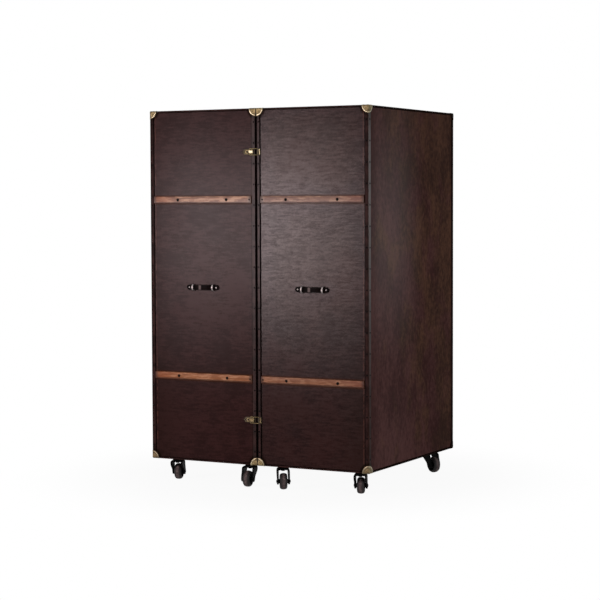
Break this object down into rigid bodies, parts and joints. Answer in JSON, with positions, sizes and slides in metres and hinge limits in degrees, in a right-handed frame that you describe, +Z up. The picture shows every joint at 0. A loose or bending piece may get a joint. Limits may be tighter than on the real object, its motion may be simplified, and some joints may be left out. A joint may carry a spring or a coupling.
{
  "type": "wardrobe trunk",
  "caption": "Upright wardrobe trunk in leather-covered halves hinged at the back, with wooden slats, brass latches, strap handles, drawers, a hanging rail and swivel casters.",
  "frame": {"origin": "on the floor, under the middle of the closed trunk's bounding box", "axes": "+X to the viewer's right along the front, +Y from the front face to the back, +Z up"},
  "size_m": [0.9996, 0.8532, 1.5275],
  "materials": {
    "cover_leather": "dark brown waxed leather with a fine grain and worn, mottled patches",
    "binding_leather": "darker edge leather with round-headed tacks; the front corners are aged brass",
    "strap_leather": "near-black bridle leather",
    "slat_wood": "oiled reddish-brown hardwood",
    "plywood": "clear-finished plywood",
    "drawer_wood": "stained hardwood",
    "aged_brass": "aged brass",
    "pale_steel": "brushed nickel-plated steel",
    "black_iron": "black enamelled pressed steel",
    "wheel_rubber": "grey-brown rubber tyre"
  },
  "bodies": {
    "left_half": {"left_shell": "plywood", "left_cover": "cover_leather", "left_binding": "binding_leather", "left_upper_slat": "slat_wood", "left_lower_slat": "slat_wood", "left_handle_outer_loop": "pale_steel", "left_handle_inner_loop": "pale_steel", "hinge_left_leaf": "aged_brass", "hinge_pin": "aged_brass", "upper_latch_base": "aged_brass", "lower_latch_base": "aged_brass", "hanging_rail": "pale_steel", "rail_front_socket": "pale_steel", "rail_rear_socket": "pale_steel", "left_front_outer_caster_plate": "black_iron", "left_front_inner_caster_plate": "black_iron", "left_rear_outer_caster_plate": "black_iron", "left_rear_inner_caster_plate": "black_iron"},
    "right_half": {"right_shell": "plywood", "right_cover": "cover_leather", "right_binding": "binding_leather", "right_upper_slat": "slat_wood", "right_lower_slat": "slat_wood", "right_handle_outer_loop": "pale_steel", "right_handle_inner_loop": "pale_steel", "hinge_right_leaf": "aged_brass", "upper_latch_catch": "aged_brass", "lower_latch_catch": "aged_brass", "drawer_case": "drawer_wood", "right_front_inner_caster_plate": "black_iron", "right_front_outer_caster_plate": "black_iron", "right_rear_inner_caster_plate": "black_iron", "right_rear_outer_caster_plate": "black_iron"},
    "left_handle": {"left_handle_strap": "strap_leather"},
    "right_handle": {"right_handle_strap": "strap_leather"},
    "upper_lever": {"upper_latch_lever": "aged_brass"},
    "upper_bail": {"upper_latch_bail": "aged_brass"},
    "lower_lever": {"lower_latch_lever": "aged_brass"},
    "lower_bail": {"lower_latch_bail": "aged_brass"},
    "drawer_1": {"drawer_1": "drawer_wood"},
    "drawer_2": {"drawer_2": "drawer_wood"},
    "drawer_3": {"drawer_3": "drawer_wood"},
    "drawer_4": {"drawer_4": "drawer_wood"},
    "left_front_outer_fork": {"left_front_outer_caster_fork": "black_iron"},
    "left_front_outer_wheel": {"left_front_outer_caster_wheel": "wheel_rubber"},
    "left_front_inner_fork": {"left_front_inner_caster_fork": "black_iron"},
    "left_front_inner_wheel": {"left_front_inner_caster_wheel": "wheel_rubber"},
    "left_rear_outer_fork": {"left_rear_outer_caster_fork": "black_iron"},
    "left_rear_outer_wheel": {"left_rear_outer_caster_wheel": "wheel_rubber"},
    "left_rear_inner_fork": {"left_rear_inner_caster_fork": "black_iron"},
    "left_rear_inner_wheel": {"left_rear_inner_caster_wheel": "wheel_rubber"},
    "right_front_inner_fork": {"right_front_inner_caster_fork": "black_iron"},
    "right_front_inner_wheel": {"right_front_inner_caster_wheel": "wheel_rubber"},
    "right_front_outer_fork": {"right_front_outer_caster_fork": "black_iron"},
    "right_front_outer_wheel": {"right_front_outer_caster_wheel": "wheel_rubber"},
    "right_rear_inner_fork": {"right_rear_inner_caster_fork": "black_iron"},
    "right_rear_inner_wheel": {"right_rear_inner_caster_wheel": "wheel_rubber"},
    "right_rear_outer_fork": {"right_rear_outer_caster_fork": "black_iron"},
    "right_rear_outer_wheel": {"right_rear_outer_caster_wheel": "wheel_rubber"}
  },
  "joints": [
    {"name": "book_hinge", "type": "hinge", "parent": "left_half", "child": "right_half", "pos_m": [0, 0.422, 0.8], "axis": [0, 0, 1], "range_deg": [0, 180]},
    {"name": "left_handle_lift", "type": "slide", "parent": "left_half", "child": "left_handle", "axis": [0, -1, 0], "range_m": [0, 0.0035]},
    {"name": "right_handle_lift", "type": "slide", "parent": "right_half", "child": "right_handle", "axis": [0, -1, 0], "range_m": [0, 0.0035]},
    {"name": "upper_lever_pivot", "type": "hinge", "parent": "left_half", "child": "upper_lever", "pos_m": [-0.015, -0.4171, 1.354], "axis": [0, 0, 1], "range_deg": [0, 150]},
    {"name": "upper_bail_pivot", "type": "hinge", "parent": "upper_lever", "child": "upper_bail", "pos_m": [-0.027, -0.4171, 1.354], "axis": [0, 0, 1], "range_deg": [-150, 0]},
    {"name": "lower_lever_pivot", "type": "hinge", "parent": "left_half", "child": "lower_lever", "pos_m": [-0.015, -0.4171, 0.281], "axis": [0, 0, 1], "range_deg": [0, 150]},
    {"name": "lower_bail_pivot", "type": "hinge", "parent": "lower_lever", "child": "lower_bail", "pos_m": [-0.027, -0.4171, 0.281], "axis": [0, 0, 1], "range_deg": [-150, 0]},
    {"name": "drawer_1_slide", "type": "slide", "parent": "right_half", "child": "drawer_1", "axis": [-1, 0, 0], "range_m": [0, 0.36]},
    {"name": "drawer_2_slide", "type": "slide", "parent": "right_half", "child": "drawer_2", "axis": [-1, 0, 0], "range_m": [0, 0.36]},
    {"name": "drawer_3_slide", "type": "slide", "parent": "right_half", "child": "drawer_3", "axis": [-1, 0, 0], "range_m": [0, 0.36]},
    {"name": "drawer_4_slide", "type": "slide", "parent": "right_half", "child": "drawer_4", "axis": [-1, 0, 0], "range_m": [0, 0.36]},
    {"name": "left_front_outer_swivel", "type": "hinge", "parent": "left_half", "child": "left_front_outer_fork", "pos_m": [-0.4236, -0.3361, 0.09], "axis": [0, 0, 1], "continuous": true},
    {"name": "left_front_outer_roll", "type": "hinge", "parent": "left_front_outer_fork", "child": "left_front_outer_wheel", "pos_m": [-0.43163, -0.31137, 0.033], "axis": [-0.9511, -0.309, 0], "continuous": true},
    {"name": "left_front_inner_swivel", "type": "hinge", "parent": "left_half", "child": "left_front_inner_fork", "pos_m": [-0.0762, -0.3361, 0.09], "axis": [0, 0, 1], "continuous": true},
    {"name": "left_front_inner_roll", "type": "hinge", "parent": "left_front_inner_fork", "child": "left_front_inner_wheel", "pos_m": [-0.07168, -0.3617, 0.033], "axis": [0.9848, 0.1736, 0], "continuous": true},
    {"name": "left_rear_outer_swivel", "type": "hinge", "parent": "left_half", "child": "left_rear_outer_fork", "pos_m": [-0.4236, 0.3419, 0.09], "axis": [0, 0, 1], "continuous": true},
    {"name": "left_rear_outer_roll", "type": "hinge", "parent": "left_rear_outer_fork", "child": "left_rear_outer_wheel", "pos_m": [-0.41139, 0.31894, 0.033], "axis": [0.8829, 0.4695, 0], "continuous": true},
    {"name": "left_rear_inner_swivel", "type": "hinge", "parent": "left_half", "child": "left_rear_inner_fork", "pos_m": [-0.0762, 0.3419, 0.09], "axis": [0, 0, 1], "continuous": true},
    {"name": "left_rear_inner_roll", "type": "hinge", "parent": "left_rear_inner_fork", "child": "left_rear_inner_wheel", "pos_m": [-0.08249, 0.36713, 0.033], "axis": [-0.9703, -0.2419, 0], "continuous": true},
    {"name": "right_front_inner_swivel", "type": "hinge", "parent": "right_half", "child": "right_front_inner_fork", "pos_m": [0.0762, -0.3361, 0.09], "axis": [0, 0, 1], "continuous": true},
    {"name": "right_front_inner_roll", "type": "hinge", "parent": "right_front_inner_fork", "child": "right_front_inner_wheel", "pos_m": [0.08998, -0.35815, 0.033], "axis": [0.848, 0.5299, 0], "continuous": true},
    {"name": "right_front_outer_swivel", "type": "hinge", "parent": "right_half", "child": "right_front_outer_fork", "pos_m": [0.4236, -0.3361, 0.09], "axis": [0, 0, 1], "continuous": true},
    {"name": "right_front_outer_roll", "type": "hinge", "parent": "right_front_outer_fork", "child": "right_front_outer_wheel", "pos_m": [0.41428, -0.31183, 0.033], "axis": [-0.9336, -0.3584, 0], "continuous": true},
    {"name": "right_rear_inner_swivel", "type": "hinge", "parent": "right_half", "child": "right_rear_inner_fork", "pos_m": [0.0762, 0.3419, 0.09], "axis": [0, 0, 1], "continuous": true},
    {"name": "right_rear_inner_roll", "type": "hinge", "parent": "right_rear_inner_fork", "child": "right_rear_inner_wheel", "pos_m": [0.07258, 0.36765, 0.033], "axis": [-0.9903, -0.1392, 0], "continuous": true},
    {"name": "right_rear_outer_swivel", "type": "hinge", "parent": "right_half", "child": "right_rear_outer_fork", "pos_m": [0.4236, 0.3419, 0.09], "axis": [0, 0, 1], "continuous": true},
    {"name": "right_rear_outer_roll", "type": "hinge", "parent": "right_rear_outer_fork", "child": "right_rear_outer_wheel", "pos_m": [0.44612, 0.3289, 0.033], "axis": [0.5, 0.866, 0], "continuous": true}
  ],
  "couplings": [
    {"joint": "upper_bail_pivot", "follows": "upper_lever_pivot", "ratio": -1},
    {"joint": "lower_bail_pivot", "follows": "lower_lever_pivot", "ratio": -1}
  ]
}
